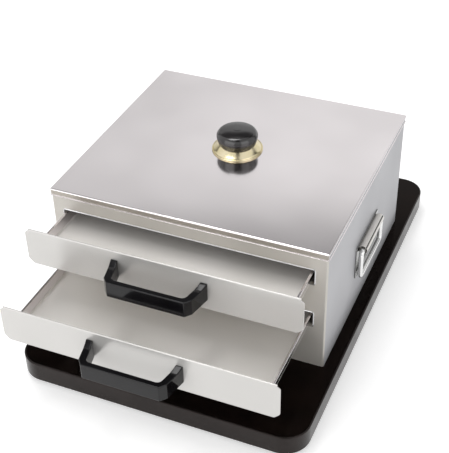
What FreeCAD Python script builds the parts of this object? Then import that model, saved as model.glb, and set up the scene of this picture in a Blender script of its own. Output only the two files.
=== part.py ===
import FreeCAD, Part
import math
import os
import re

import Sketcher
from FreeCAD import Placement, Rotation, Vector

# Two-drawer steamer for rice noodle rolls: a stainless box over a water pan, with a lift-off lid, two
# pull-out trays and a folding bail handle on each side, standing on a flat black heating base.
#
# Units are millimetres. +Z is up and the drawers pull out towards -Y. The origin is the middle of the
# heating base, at the level of the worktop that its feet stand on.

sizes = {
    # heating base
    "baseWidth": 354, "baseDepth": 526, "baseHeight": 25, "baseCorner": 30, "baseWall": 2.0,
    "baseEdge": 1.2, "glassThickness": 4, "glassGap": 0.3, "ledgeWidth": 8, "ledgeThickness": 2,
    "coverThickness": 1.2, "footHeight": 7, "footRadius": 12, "footTaper": 2, "footInset": 42,
    "pegRadius": 3, "pegGap": 0.1, "bossRadius": 5, "coverScrewInset": 90, "coverScrewSpread": 75,
    "coverScrewRadius": 1.25, "coverScrewHead": 3, "coverScrewGap": 0.05, "coverHoleGap": 0.15,
    "coverHeadHeight": 1.6, "coverScrewLength": 8, "coverScrewSpare": 1,
    # heater under the glass
    "dishRadius": 95, "dishWall": 1.5, "dishGap": 0.3, "insulationHeight": 8, "coilRadius": 3.25,
    "linkRadius": 2.9, "outerCoil": 76, "middleCoil": 52, "innerCoil": 28, "thermostatLength": 34,
    "thermostatWidth": 16, "thermostatHeight": 12, "dialRadius": 5.6, "dialHeight": 3,
    # mains inlet
    "inletWidth": 28, "inletClear": 1.4, "inletDepth": 26, "inletFlange": 3, "inletFlangeThickness": 2,
    "inletGap": 0.2, "socketWidth": 22, "socketHeight": 9, "socketDepth": 17, "pinSpacing": 7,
    "pinLength": 13, "pinWidth": 4, "pinThickness": 2,
    # drawers
    "upperOpen": 65, "lowerOpen": 132, "trayWidth": 300, "trayLength": 290, "trayDepth": 17,
    "trayWall": 1.0, "trayLift": 0.3, "rimWidth": 3, "rimHeight": 2.4, "rimRound": 1.1, "plateLap": 11,
    "plateHeight": 47, "plateWall": 1.2, "plateDrop": 12.5, "hemHeight": 7, "hemRound": 1.1,
    "topClip": 4.5, "bottomClip": 6.5,
    # drawer handles
    "handleWidth": 115, "handleDepth": 35, "handleHeight": 20, "handleRise": 13, "legLean": 6,
    "legThickness": 8.5, "elbowCut": 6, "elbowDepth": 7, "barThickness": 7, "handleInner": 6,
    "handleOuter": 2.5, "handleEdge": 1.0, "handleScrewInset": 5.5, "handleScrewRadius": 1.6,
    "handleScrewGap": 0.05, "handleScrewHole": 1.85, "handleScrewHead": 3.5, "handleHeadHeight": 2.2,
    "handleScrewLength": 10, "handleScrewSpare": 1, "rootLength": 11, "rootRise": 3,
    # steamer box, and where its middle stands over the base
    "boxOffsetX": -8, "boxOffsetY": 9, "sheetWall": 1.0, "wallBend": 1.2, "topFlange": 12,
    "panHeight": 50, "panWall": 1.0, "stileWidth": 14.5, "trayBackGap": 16, "traySide": 2,
    "trayHead": 2.7, "lowerSlot": 58, "slotPitch": 60, "lipDepth": 5, "runnerBearing": 7.5,
    "runnerWall": 1.2, "runnerHeight": 15,
    # bail handle on each side
    "bailLength": 88, "bailHeight": 45, "bailTop": 92, "bailPlateWall": 1.5, "sleeveRadius": 5.5,
    "rodRadius": 3, "rodGap": 0.05, "bailBend": 5, "sleeveGap": 0.5,
    # lid and its knob
    "lidGap": 0.5, "lidWall": 1.0, "lidSkirt": 9, "lidEdge": 1.2, "skirtGap": 2.5, "knobHole": 1.9,
    "knobSetBack": 4, "ringRadius": 31, "ringRim": 1.6, "ringTop": 21, "ringHeight": 8.5, "ringWall": 1.0,
    "capRadius": 25, "capFoot": 22.5, "capHeight": 19, "capShoulder": 8.5, "capBelly": 12.5, "capCrown": 19,
    "capRound": 6, "crownRound": 8, "insertRadius": 4, "insertLength": 16, "knobScrewRadius": 1.75,
    "knobScrewHead": 3.5, "knobHeadHeight": 2.4, "knobScrewReach": 12, "washerRadius": 9,
    "washerThickness": 1.2, "threadGap": 0.05,
    # how far a cut starts outside what it goes through
    "cutMargin": 1,
}

# Sizes that follow from the ones above.
worked = {
    # the base stands on its feet, the box on the base, the lid on the box
    "baseFloor": "footHeight",
    "boxFloor": "(baseFloor + baseHeight)",
    "lidFloor": "(boxFloor + boxHeight)",
    # the inlet fills the height between the base's cover and the ledge under the glass
    "ledgeFloor": "(baseHeight - glassThickness - ledgeThickness)",
    "inletBottom": "(coverThickness + inletClear)",
    "inletHeight": "(ledgeFloor - coverThickness - 2*inletClear)",
    "inletMiddle": "(inletBottom + inletHeight/2)",
    # the slots, the front plates and the box go round the trays
    "rimReach": "(rimWidth - trayWall)",
    "slotWidth": "(trayWidth + 2*rimReach + 2*traySide)",
    "slotHeight": "(trayDepth + trayLift + trayHead)",
    "plateWidth": "(slotWidth + 2*plateLap)",
    "plateBottom": "(-plateDrop - trayLift)",
    "plateTop": "(plateBottom + plateHeight)",
    "boxWidth": "(slotWidth + 2*stileWidth)",
    "boxDepth": "(trayLength + trayBackGap)",
    "boxHeight": "(lowerSlot + slotPitch - plateDrop + plateHeight + skirtGap + lidSkirt - lidWall)",
    "frontFace": "(boxDepth/2)",
    "runnerReach": "(stileWidth - sheetWall + traySide + rimReach + runnerBearing)",
    # the lid goes over the box
    "lidWidth": "(boxWidth + 2*lidGap + 2*lidWall)",
    "lidDepth": "(boxDepth + 2*lidGap + 2*lidWall)",
    # a bail swings in its sleeve, which lies between the loop's two upper bends
    "bailAxis": "(bailPlateWall/2 + sleeveRadius)",
    "bailFloor": "(boxFloor + bailTop - sleeveRadius)",
    "sleeveHalf": "(bailLength/2 - rodRadius - bailBend - sleeveGap)",
    # a drawer's handle is a bar on two legs that lean inwards
    "elbowWidth": "(handleWidth - 2*legLean)",
    "barWidth": "(elbowWidth - 2*elbowCut)",
    "handleMiddle": "(handleRise + handleHeight/2 + plateBottom)",
}
drawers = {"upper": ("upperOpen", "lowerSlot + slotPitch"), "lower": ("lowerOpen", "lowerSlot")}
sides = {"left": -1, "right": 1}

doc = FreeCAD.newDocument("NoodleRollSteamer")
sheet = doc.addObject("Spreadsheet::Sheet", "Sizes")
for row, (name, value) in enumerate(sizes.items(), start=1):
    sheet.set(f"A{row}", name)
    sheet.set(f"B{row}", str(value))
    sheet.setAlias(f"B{row}", name)
doc.recompute()

parts = []


# ---- helpers ----
def formula(text):
    # writes each size in the text as a cell of the sheet, and each worked size as its own formula
    def cell(word):
        name = word.group()
        if name in worked:
            return formula(worked[name])
        return f"Sizes.{name}" if name in sizes else name
    return re.sub(r"[A-Za-z]\w*", cell, text)


def number(text):
    return float(sheet.evalExpression(formula(text)))


def bind(item, path, text):
    item.setExpression(path, formula(text))


def stand(item, x, y, z):
    # binds the item's place to sizes
    for axis, text in zip("xyz", (x, y, z)):
        bind(item, f"Placement.Base.{axis}", text)


def newBody(label, x, y, z):
    body = doc.addObject("PartDesign::Body", label)
    body.Label = label
    stand(body, x, y, z)
    parts.append(body)
    return body


def newSketch(body, plane, offset="0"):
    sketch = body.newObject("Sketcher::SketchObject", "Sketch")
    support = next(item for item in body.Origin.OriginFeatures if item.Role == plane)
    sketch.AttachmentSupport = [(support, "")]
    sketch.MapMode = "FlatFace"
    bind(sketch, "AttachmentOffset.Base.z", offset)
    return sketch


def datum(sketch, constraint, text):
    bind(sketch, f"Constraints[{sketch.addConstraint(constraint)}]", text)


def pin(sketch, edge, point, x, y):
    # holds a point of the sketch at a place from the sketch's origin
    datum(sketch, Sketcher.Constraint("DistanceX", -1, 1, edge, point, number(x)), x)
    datum(sketch, Sketcher.Constraint("DistanceY", -1, 1, edge, point, number(y)), y)


def addPolygon(sketch, corners):
    points = [Vector(number(x), number(y), 0) for x, y in corners]
    first = sketch.GeometryCount
    count = len(points)
    for i, point in enumerate(points):
        sketch.addGeometry(Part.LineSegment(point, points[(i + 1) % count]), False)
    for i, (x, y) in enumerate(corners):
        sketch.addConstraint(Sketcher.Constraint("Coincident", first + i, 2, first + (i + 1) % count, 1))
        pin(sketch, first + i, 1, x, y)


def addRectangle(sketch, left, right, bottom, top):
    addPolygon(sketch, [(left, bottom), (right, bottom), (right, top), (left, top)])


def addCentred(sketch, width, height):
    addRectangle(sketch, f"-({width})/2", f"({width})/2", f"-({height})/2", f"({height})/2")


def addCircle(sketch, x, y, radius):
    place = Vector(number(x), number(y), 0)
    edge = sketch.addGeometry(Part.Circle(place, Vector(0, 0, 1), number(radius)), False)
    datum(sketch, Sketcher.Constraint("Radius", edge, number(radius)), radius)
    pin(sketch, edge, 3, x, y)


def addRounded(sketch, width, height, radius):
    # rectangle about the sketch's origin with four equal round corners: four lines, then four arcs
    w, h, r = number(width) / 2, number(height) / 2, number(radius)
    first = sketch.GeometryCount
    lines = [((-w + r, -h), (w - r, -h)), ((w, -h + r), (w, h - r)), ((w - r, h), (-w + r, h)),
             ((-w, h - r), (-w, -h + r))]
    quarter = math.pi / 2
    middles = [(w - r, -h + r, -quarter), (w - r, h - r, 0), (-w + r, h - r, quarter),
               (-w + r, -h + r, 2 * quarter)]
    for start, end in lines:
        sketch.addGeometry(Part.LineSegment(Vector(*start, 0), Vector(*end, 0)), False)
    for x, y, angle in middles:
        circle = Part.Circle(Vector(x, y, 0), Vector(0, 0, 1), r)
        sketch.addGeometry(Part.ArcOfCircle(circle, angle, angle + quarter), False)
    for i in range(4):
        line, arc, after = first + i, first + 4 + i, first + (i + 1) % 4
        sketch.addConstraint(Sketcher.Constraint("Tangent", line, 2, arc, 1))
        sketch.addConstraint(Sketcher.Constraint("Tangent", arc, 2, after, 1))
        sketch.addConstraint(Sketcher.Constraint("Vertical" if i % 2 else "Horizontal", line))
        if i:
            sketch.addConstraint(Sketcher.Constraint("Equal", first + 4, arc))
    datum(sketch, Sketcher.Constraint("Radius", first + 4, r), radius)
    for line, kind, text in ((0, "DistanceY", f"-({height})/2"), (1, "DistanceX", f"({width})/2"),
                             (2, "DistanceY", f"({height})/2"), (3, "DistanceX", f"-({width})/2")):
        datum(sketch, Sketcher.Constraint(kind, -1, 1, first + line, 1, number(text)), text)


def pad(body, sketch, length, backwards=False):
    feature = body.newObject("PartDesign::Pad", "Pad")
    feature.Profile = sketch
    feature.Reversed = backwards
    bind(feature, "Length", length)
    return feature


def pocket(body, sketch, length, backwards=False):
    doc.recompute()
    before = body.Shape.Volume
    feature = body.newObject("PartDesign::Pocket", "Pocket")
    feature.Profile = sketch
    feature.Reversed = backwards
    bind(feature, "Length", length)
    doc.recompute()
    if body.Shape.Volume >= before:
        raise RuntimeError(f"{body.Label}: a pocket cuts nothing")


def edgeNames(shape, test):
    return [f"Edge{i}" for i, edge in enumerate(shape.Edges, start=1) if test(edge)]


def fillet(body, radius, test):
    doc.recompute()
    base = body.Tip
    names = edgeNames(base.Shape, test)
    if not names:
        raise RuntimeError(f"{body.Label}: a fillet has no edges")
    feature = body.newObject("PartDesign::Fillet", "Fillet")
    feature.Base = (base, names)
    bind(feature, "Radius", radius)


def near(a, b):
    return abs(a - b) < 0.01


def straight(edge):
    return edge.Curve.TypeId == "Part::GeomLine"


def at(edge, x, y):
    # the edge stands at this corner, on either side of the middle
    return near(abs(edge.BoundBox.XMin), number(x)) and near(edge.BoundBox.YMin, number(y))


def upright(edge):
    box = edge.BoundBox
    return box.XLength < 0.01 and box.YLength < 0.01 and box.ZLength > 0.01


def level(edge, height):
    # the edge lies in the plane at this height
    return near(edge.BoundBox.ZMin, height) and near(edge.BoundBox.ZMax, height)


def cylinder(radius, height, x="0", y="0", z="0", turn=None):
    item = doc.addObject("Part::Cylinder", "Cylinder")
    bind(item, "Radius", radius)
    bind(item, "Height", height)
    if turn:
        item.Placement = Placement(Vector(), turn)
    stand(item, x, y, z)
    return item


def box(length, width, height, x, y, z):
    item = doc.addObject("Part::Box", "Box")
    bind(item, "Length", length)
    bind(item, "Width", width)
    bind(item, "Height", height)
    stand(item, x, y, z)
    return item


def fuse(items):
    item = doc.addObject("Part::MultiFuse", "Fuse")
    item.Shapes = items
    return item


def group(label, items, x, y, z):
    # several alike solids, or one made of primitives, under one label
    item = doc.addObject("Part::Compound", label)
    item.Label = label
    item.Links = items
    stand(item, x, y, z)
    parts.append(item)
    return item


# ---- heating base ----
corners = [(i, j) for i in (-1, 1) for j in (-1, 1)]
bossIn = "(baseWall + bossRadius)"
footPlaces = [(f"{i}*(baseWidth/2 - footInset)", f"{j}*(baseDepth/2 - footInset)") for i, j in corners]
bossPlaces = [(f"{i}*(baseWidth/2 - {bossIn})", f"{j}*(baseDepth/2 - coverScrewInset)") for i, j in corners]
bossPlaces += [(f"{i}*coverScrewSpread", f"{j}*(baseDepth/2 - {bossIn})") for i, j in corners]


def makeBaseShell():
    body = newBody("base_shell", "0", "0", "baseFloor")
    ring = newSketch(body, "XY_Plane")
    addRounded(ring, "baseWidth", "baseDepth", "baseCorner")
    addRounded(ring, "baseWidth - 2*baseWall", "baseDepth - 2*baseWall", "baseCorner - baseWall")
    pad(body, ring, "baseHeight")
    ledge = newSketch(body, "XY_Plane", "ledgeFloor")
    addRounded(ledge, "baseWidth - 2*baseWall", "baseDepth - 2*baseWall", "baseCorner - baseWall")
    addRounded(ledge, "baseWidth - 2*baseWall - 2*ledgeWidth", "baseDepth - 2*baseWall - 2*ledgeWidth",
               "baseCorner - baseWall - ledgeWidth")
    pad(body, ledge, "ledgeThickness")
    bosses = newSketch(body, "XY_Plane", "coverThickness")
    for x, y in bossPlaces:
        addCircle(bosses, x, y, "bossRadius")
    pad(body, bosses, "ledgeFloor - coverThickness")
    holes = newSketch(body, "XY_Plane", "coverThickness")
    for x, y in bossPlaces:
        addCircle(holes, x, y, "coverScrewRadius + coverScrewGap")
    pocket(body, holes, "coverScrewLength + coverScrewSpare", backwards=True)
    window = newSketch(body, "XZ_Plane", "-baseDepth/2 - cutMargin")
    addRectangle(window, "-inletWidth/2 - inletGap", "inletWidth/2 + inletGap", "inletBottom - inletGap",
                 "inletBottom + inletHeight + inletGap")
    pocket(body, window, "baseWall + 2*cutMargin", backwards=True)
    top, half = number("baseHeight"), number("(baseWidth - baseWall)/2")
    fillet(body, "baseEdge", lambda edge: level(edge, top) and straight(edge)
           and abs(edge.valueAt(0).x) > half)


def makeBaseGlass():
    body = newBody("base_top_glass", "0", "0", "baseFloor")
    outline = newSketch(body, "XY_Plane", "baseHeight - glassThickness")
    addRounded(outline, "baseWidth - 2*baseWall - 2*glassGap", "baseDepth - 2*baseWall - 2*glassGap",
               "baseCorner - baseWall - glassGap")
    pad(body, outline, "glassThickness")


def makeBaseCover():
    body = newBody("base_bottom_cover", "0", "0", "baseFloor")
    outline = newSketch(body, "XY_Plane")
    addRounded(outline, "baseWidth - 2*baseWall - 2*glassGap", "baseDepth - 2*baseWall - 2*glassGap",
               "baseCorner - baseWall - glassGap")
    for x, y in footPlaces:
        addCircle(outline, x, y, "pegRadius + pegGap")
    for x, y in bossPlaces:
        addCircle(outline, x, y, "coverScrewRadius + coverHoleGap")
    pad(body, outline, "coverThickness")


def makeBaseFeet():
    feet = []
    for x, y in footPlaces:
        cone = doc.addObject("Part::Cone", "Cone")
        bind(cone, "Radius1", "footRadius - footTaper")
        bind(cone, "Radius2", "footRadius")
        bind(cone, "Height", "footHeight")
        stand(cone, x, y, "0")
        feet.append(fuse([cone, cylinder("pegRadius", "footHeight + coverThickness", x, y, "0")]))
    group("base_feet", feet, "0", "0", "0")


def makeBaseScrews():
    screws = []
    for x, y in bossPlaces:
        head = cylinder("coverScrewHead", "coverHeadHeight", x, y, "-coverHeadHeight")
        shank = cylinder("coverScrewRadius", "coverThickness + coverScrewLength", x, y, "0")
        screws.append(fuse([head, shank]))
    group("base_screws", screws, "0", "0", "baseFloor")


def makeHeater():
    # dish, insulation and ring element under the glass, below the middle of the box
    dishHeight = "(baseHeight - glassThickness - coverThickness)"
    dish = newBody("heater_dish", "boxOffsetX", "boxOffsetY", "baseFloor + coverThickness")
    floor = newSketch(dish, "XY_Plane")
    addCircle(floor, "0", "0", "dishRadius")
    pad(dish, floor, "dishWall")
    wall = newSketch(dish, "XY_Plane")
    addCircle(wall, "0", "0", "dishRadius")
    addCircle(wall, "0", "0", "dishRadius - dishWall")
    pad(dish, wall, dishHeight)

    wool = newBody("heater_insulation", "boxOffsetX", "boxOffsetY", "baseFloor + coverThickness + dishWall")
    disc = newSketch(wool, "XY_Plane")
    addCircle(disc, "0", "0", "dishRadius - dishWall - dishGap")
    pad(wool, disc, "insulationHeight")

    rings = []
    for radius in ("outerCoil", "middleCoil", "innerCoil"):
        ring = doc.addObject("Part::Torus", "Torus")
        bind(ring, "Radius1", radius)
        bind(ring, "Radius2", "coilRadius")
        rings.append(ring)
    link = cylinder("linkRadius", "outerCoil - innerCoil", "0", "-outerCoil", "0",
                    Rotation(Vector(1, 0, 0), -90))
    group("heater_element", [fuse(rings + [link])], "boxOffsetX", "boxOffsetY",
          "baseFloor + coverThickness + dishWall + insulationHeight + coilRadius")

    body = box("thermostatLength", "thermostatWidth", "thermostatHeight", "-thermostatLength/2",
               "dishRadius", "0")
    dial = cylinder("dialRadius", "dialHeight", "0", "dishRadius + thermostatWidth/2", "thermostatHeight")
    group("heater_thermostat", [fuse([body, dial])], "boxOffsetX", "boxOffsetY", "baseFloor + coverThickness")


def makeInlet():
    # three-pin mains inlet in the back wall of the base
    body = newBody("mains_inlet", "0", "baseDepth/2", "baseFloor")
    flange = newSketch(body, "XZ_Plane")
    addRectangle(flange, "-inletWidth/2 - inletFlange", "inletWidth/2 + inletFlange",
                 "inletBottom - inletFlange/2", "inletBottom + inletHeight + inletFlange/2")
    pad(body, flange, "inletFlangeThickness", backwards=True)
    block = newSketch(body, "XZ_Plane")
    addRectangle(block, "-inletWidth/2", "inletWidth/2", "inletBottom", "inletBottom + inletHeight")
    pad(body, block, "inletDepth")
    socket = newSketch(body, "XZ_Plane", "-inletFlangeThickness")
    addRectangle(socket, "-socketWidth/2", "socketWidth/2", "inletMiddle - socketHeight/2",
                 "inletMiddle + socketHeight/2")
    pocket(body, socket, "socketDepth + inletFlangeThickness", backwards=True)

    pins = [box("pinThickness", "pinLength", "pinWidth", f"{i}*pinSpacing - pinThickness/2", "-socketDepth",
                "inletMiddle - pinWidth/2") for i in (-1, 0, 1)]
    group("inlet_pins", pins, "0", "baseDepth/2", "baseFloor")


# ---- steamer box ----
def makeBoxShell():
    # left, back and right walls folded from one sheet, with a flange turned in along the top
    body = newBody("box_shell", "boxOffsetX", "boxOffsetY", "boxFloor")

    def wrap(depth, front):
        # a band of this depth along the inside of the three walls
        inside = f"boxWidth/2 - {depth}"
        return [("-boxWidth/2", front), (f"-({inside})", front), (f"-({inside})", f"boxDepth/2 - {depth}"),
                (inside, f"boxDepth/2 - {depth}"), (inside, front), ("boxWidth/2", front),
                ("boxWidth/2", "boxDepth/2"), ("-boxWidth/2", "boxDepth/2")]

    walls = newSketch(body, "XY_Plane")
    addPolygon(walls, wrap("sheetWall", "-frontFace"))
    pad(body, walls, "boxHeight")
    rim = newSketch(body, "XY_Plane", "boxHeight - sheetWall")
    addPolygon(rim, wrap("topFlange", "-frontFace + sheetWall"))
    pad(body, rim, "sheetWall")
    fillet(body, "wallBend", lambda edge: onCorner(edge, "boxWidth", "boxDepth") and edge.BoundBox.YMin > 0)


def makeFrontPanel():
    # front wall between the side walls, with a lipped slot for each tray
    body = newBody("front_panel", "boxOffsetX", "boxOffsetY", "boxFloor")
    inner = "boxWidth/2 - sheetWall"
    sheetOutline = newSketch(body, "XZ_Plane", "frontFace - sheetWall")
    addRectangle(sheetOutline, f"-({inner})", inner, "0", "boxHeight")
    lips = newSketch(body, "XZ_Plane", "frontFace - lipDepth")
    for _, bottom in drawers.values():
        addRectangle(sheetOutline, "-slotWidth/2", "slotWidth/2", bottom, f"{bottom} + slotHeight")
        addRectangle(lips, "-slotWidth/2 - sheetWall", "slotWidth/2 + sheetWall", f"{bottom} - sheetWall",
                     f"{bottom} + slotHeight + sheetWall")
        addRectangle(lips, "-slotWidth/2", "slotWidth/2", bottom, f"{bottom} + slotHeight")
    pad(body, sheetOutline, "sheetWall")
    pad(body, lips, "lipDepth")
    rim = newSketch(body, "XY_Plane", "boxHeight - sheetWall")
    addRectangle(rim, "-boxWidth/2 + topFlange", "boxWidth/2 - topFlange", "-frontFace",
                 "-frontFace + topFlange")
    pad(body, rim, "sheetWall")


def makeWaterPan():
    body = newBody("water_pan", "boxOffsetX", "boxOffsetY", "boxFloor")
    floor = newSketch(body, "XY_Plane")
    addCentred(floor, "boxWidth - 2*sheetWall", "boxDepth - 2*sheetWall")
    pad(body, floor, "panWall")
    wall = newSketch(body, "XY_Plane")
    addCentred(wall, "boxWidth - 2*sheetWall", "boxDepth - 2*sheetWall")
    addCentred(wall, "boxWidth - 2*sheetWall - 2*panWall", "boxDepth - 2*sheetWall - 2*panWall")
    pad(body, wall, "panHeight")


def makeRunners():
    # an angle on each side wall at the foot of each slot, on which the tray's floor slides
    for tier, (_, bottom) in drawers.items():
        for side, sign in sides.items():
            body = newBody(f"{tier}_{side}_runner", "boxOffsetX", "boxOffsetY", f"boxFloor + {bottom}")
            wall = f"{sign}*(boxWidth/2 - sheetWall)"
            tip, bend = f"{wall} - {sign}*runnerReach", f"{wall} - {sign}*runnerWall"
            profile = newSketch(body, "XZ_Plane", "-(frontFace - sheetWall)")
            addPolygon(profile, [(wall, "-runnerWall"), (tip, "-runnerWall"), (tip, "0"), (bend, "0"),
                                 (bend, "runnerHeight"), (wall, "runnerHeight")])
            pad(body, profile, "boxDepth - sheetWall - lipDepth")


# ---- bail handles ----
def makeBailHandles():
    for side, sign in sides.items():
        wall = f"boxOffsetX + {sign}*boxWidth/2"
        plate = newBody(f"{side}_handle_plate", wall, "boxOffsetY", "bailFloor")
        back = newSketch(plate, "YZ_Plane", "0" if sign > 0 else "-bailPlateWall")
        addRectangle(back, "-bailLength/2", "bailLength/2", "sleeveRadius - bailHeight", "sleeveRadius")
        pad(plate, back, "bailPlateWall")
        sleeve = newSketch(plate, "XZ_Plane", "-sleeveHalf")
        addCircle(sleeve, f"{sign}*bailAxis", "0", "sleeveRadius")
        pad(plate, sleeve, "2*sleeveHalf")
        bore = newSketch(plate, "XZ_Plane", "-sleeveHalf - cutMargin")
        addCircle(bore, f"{sign}*bailAxis", "0", "rodRadius + rodGap")
        pocket(plate, bore, "2*sleeveHalf + 2*cutMargin", backwards=True)

        bail = newBody(f"{side}_bail", f"{wall} + {sign}*bailAxis", "boxOffsetY", "bailFloor")
        path = newSketch(bail, "YZ_Plane")
        addLoop(path, "bailLength/2 - rodRadius", "0", "-bailHeight + sleeveRadius + rodRadius", "bailBend")
        section = newSketch(bail, "XZ_Plane")
        addCircle(section, "0", "0", "rodRadius")
        pipe = bail.newObject("PartDesign::AdditivePipe", "Pipe")
        pipe.Profile = section
        pipe.Spine = path


def addLoop(sketch, half, top, bottom, radius):
    # round-cornered loop from the middle of its top, clockwise
    a, t, b, r = number(half), number(top), number(bottom), number(radius)
    first = sketch.GeometryCount
    quarter = math.pi / 2
    lines = [((0, t), (a - r, t)), ((a, t - r), (a, b + r)), ((a - r, b), (-a + r, b)),
             ((-a, b + r), (-a, t - r)), ((-a + r, t), (0, t))]
    turns = [(a - r, t - r, 0), (a - r, b + r, -quarter), (-a + r, b + r, -2 * quarter),
             (-a + r, t - r, quarter)]
    for start, end in lines:
        sketch.addGeometry(Part.LineSegment(Vector(*start, 0), Vector(*end, 0)), False)
    for x, y, angle in turns:
        circle = Part.Circle(Vector(x, y, 0), Vector(0, 0, 1), r)
        sketch.addGeometry(Part.ArcOfCircle(circle, angle, angle + quarter), False)
    for i in range(4):
        line, arc = first + i, first + 5 + i
        sketch.addConstraint(Sketcher.Constraint("Tangent", line, 2, arc, 2))
        sketch.addConstraint(Sketcher.Constraint("Tangent", arc, 1, line + 1, 1))
        sketch.addConstraint(Sketcher.Constraint("Vertical" if i % 2 else "Horizontal", line))
        if i:
            sketch.addConstraint(Sketcher.Constraint("Equal", first + 5, arc))
    sketch.addConstraint(Sketcher.Constraint("Coincident", first + 4, 2, first, 1))
    datum(sketch, Sketcher.Constraint("Radius", first + 5, r), radius)
    pin(sketch, first, 1, "0", top)
    for line, kind, text in ((1, "DistanceX", half), (2, "DistanceY", bottom),
                             (3, "DistanceX", f"-({half})")):
        datum(sketch, Sketcher.Constraint(kind, -1, 1, first + line, 1, number(text)), text)


# ---- lid and knob ----
def makeLid():
    # top sheet with a skirt folded down outside the box
    body = newBody("lid_panel", "boxOffsetX", "boxOffsetY", "lidFloor")
    top = newSketch(body, "XY_Plane")
    addCentred(top, "lidWidth", "lidDepth")
    addCircle(top, "0", "knobSetBack", "knobHole")
    pad(body, top, "lidWall")
    skirt = newSketch(body, "XY_Plane", "lidWall - lidSkirt")
    addCentred(skirt, "lidWidth", "lidDepth")
    addCentred(skirt, "lidWidth - 2*lidWall", "lidDepth - 2*lidWall")
    pad(body, skirt, "lidSkirt")
    height = number("lidWall")
    fillet(body, "lidEdge", lambda edge: level(edge, height) and straight(edge)
           or onCorner(edge, "lidWidth", "lidDepth"))


def onCorner(edge, width, depth):
    # an upright edge at an outer corner of a centred rectangle
    return (upright(edge) and near(abs(edge.BoundBox.XMin), number(f"({width})/2"))
            and near(abs(edge.BoundBox.YMin), number(f"({depth})/2")))


def ringOf(edge, radius):
    return not straight(edge) and near(getattr(edge.Curve, "Radius", 0), number(radius))


def revolve(body, corners):
    profile = newSketch(body, "XZ_Plane")
    addPolygon(profile, corners)
    feature = body.newObject("PartDesign::Revolution", "Revolution")
    feature.Profile = profile
    feature.ReferenceAxis = (profile, ["V_Axis"])
    feature.Angle = 360
    return feature


def makeKnob():
    # moulded knob on a conical foot, which a thin flared brass ring covers
    def stack(floor):
        return "boxOffsetX", "boxOffsetY + knobSetBack", floor

    foot = [("ringRadius - ringWall", "0"), ("ringRadius - ringWall", "ringRim"),
            ("ringTop - ringWall", "ringHeight")]
    ring = newBody("knob_ring", *stack("lidFloor + lidWall"))
    revolve(ring, foot + [("ringTop", "ringHeight"), ("ringRadius", "ringRim"), ("ringRadius", "0")])

    cap = newBody("knob_cap", *stack("lidFloor + lidWall"))
    revolve(cap, [("insertRadius", "0")] + foot + [
        ("capFoot", "ringHeight"), ("capRadius", "ringHeight + capShoulder"),
        ("capRadius", "ringHeight + capBelly"), ("capCrown", "ringHeight + capHeight"),
        ("0", "ringHeight + capHeight"), ("0", "insertLength"), ("insertRadius", "insertLength")])
    fillet(cap, "capRound", lambda edge: ringOf(edge, "capRadius"))
    fillet(cap, "crownRound", lambda edge: ringOf(edge, "capCrown"))

    insert = newBody("knob_insert", *stack("lidFloor + lidWall"))
    thread = "knobScrewRadius + threadGap"
    revolve(insert, [(thread, "0"), ("insertRadius", "0"), ("insertRadius", "insertLength"),
                     (thread, "insertLength")])

    washer = newBody("knob_washer", *stack("lidFloor - washerThickness"))
    revolve(washer, [(thread, "0"), ("washerRadius", "0"), ("washerRadius", "washerThickness"),
                     (thread, "washerThickness")])

    head = cylinder("knobScrewHead", "knobHeadHeight", z="-knobHeadHeight")
    shank = cylinder("knobScrewRadius", "washerThickness + lidWall + knobScrewReach")
    group("knob_screw", [fuse([head, shank])], *stack("lidFloor - washerThickness"))


# ---- drawers ----
screwPlaces = [f"{i}*(handleWidth/2 - handleScrewInset)" for i in (-1, 1)]


def makeTray(tier, place):
    # shallow pan with a rolled rim; its front wall stands against the front plate
    body = newBody(f"{tier}_tray", *place)
    floor = newSketch(body, "XY_Plane")
    addRectangle(floor, "-trayWidth/2", "trayWidth/2", "0", "trayLength")
    pad(body, floor, "trayWall")
    wall = newSketch(body, "XY_Plane")
    inside, back = "trayWidth/2 - trayWall", "trayLength - trayWall"
    addRectangle(wall, "-trayWidth/2", "trayWidth/2", "0", "trayLength")
    addRectangle(wall, f"-({inside})", inside, "trayWall", back)
    pad(body, wall, "trayDepth")
    rim = newSketch(body, "XY_Plane", "trayDepth - rimHeight")
    out, behind = "trayWidth/2 + rimReach", "trayLength + rimReach"
    addPolygon(rim, [(f"-({out})", "0"), (f"-({inside})", "0"), (f"-({inside})", back), (inside, back),
                     (inside, "0"), (out, "0"), (out, behind), (f"-({out})", behind)])
    pad(body, rim, "rimHeight")
    holes = newSketch(body, "XZ_Plane")
    for x in screwPlaces:
        addCircle(holes, x, "handleMiddle", "handleScrewHole")
    pocket(body, holes, "trayWall")
    top, front, long = number("trayDepth"), number("trayWall"), number("trayLength/2")
    fillet(body, "rimRound", lambda edge: level(edge, top) and edge.Length > long
           and edge.BoundBox.YMax > front)


def makeFrontPlate(tier, place):
    # plate with clipped corners and a hem folded back along its top edge
    body = newBody(f"{tier}_front_plate", *place)
    half, flat = "plateWidth/2", "plateWidth/2 - topClip"
    outline = newSketch(body, "XZ_Plane")
    right = [(f"{half} - bottomClip", "plateBottom"), (half, "plateBottom + bottomClip"),
             (half, "plateTop - topClip"), (flat, "plateTop")]
    addPolygon(outline, right + mirrored(right))
    for x in screwPlaces:
        addCircle(outline, x, "handleMiddle", "handleScrewHole")
    pad(body, outline, "plateWall")
    hem = newSketch(body, "XZ_Plane")
    addRectangle(hem, f"-({flat})", flat, "plateTop - hemHeight", "plateTop")
    pad(body, hem, "plateWall", backwards=True)
    top, long = number("plateTop"), number(half)
    fillet(body, "hemRound", lambda edge: level(edge, top) and edge.Length > long)


def mirrored(corners):
    return [(f"-({x})", y) for x, y in reversed(corners)]


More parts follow.
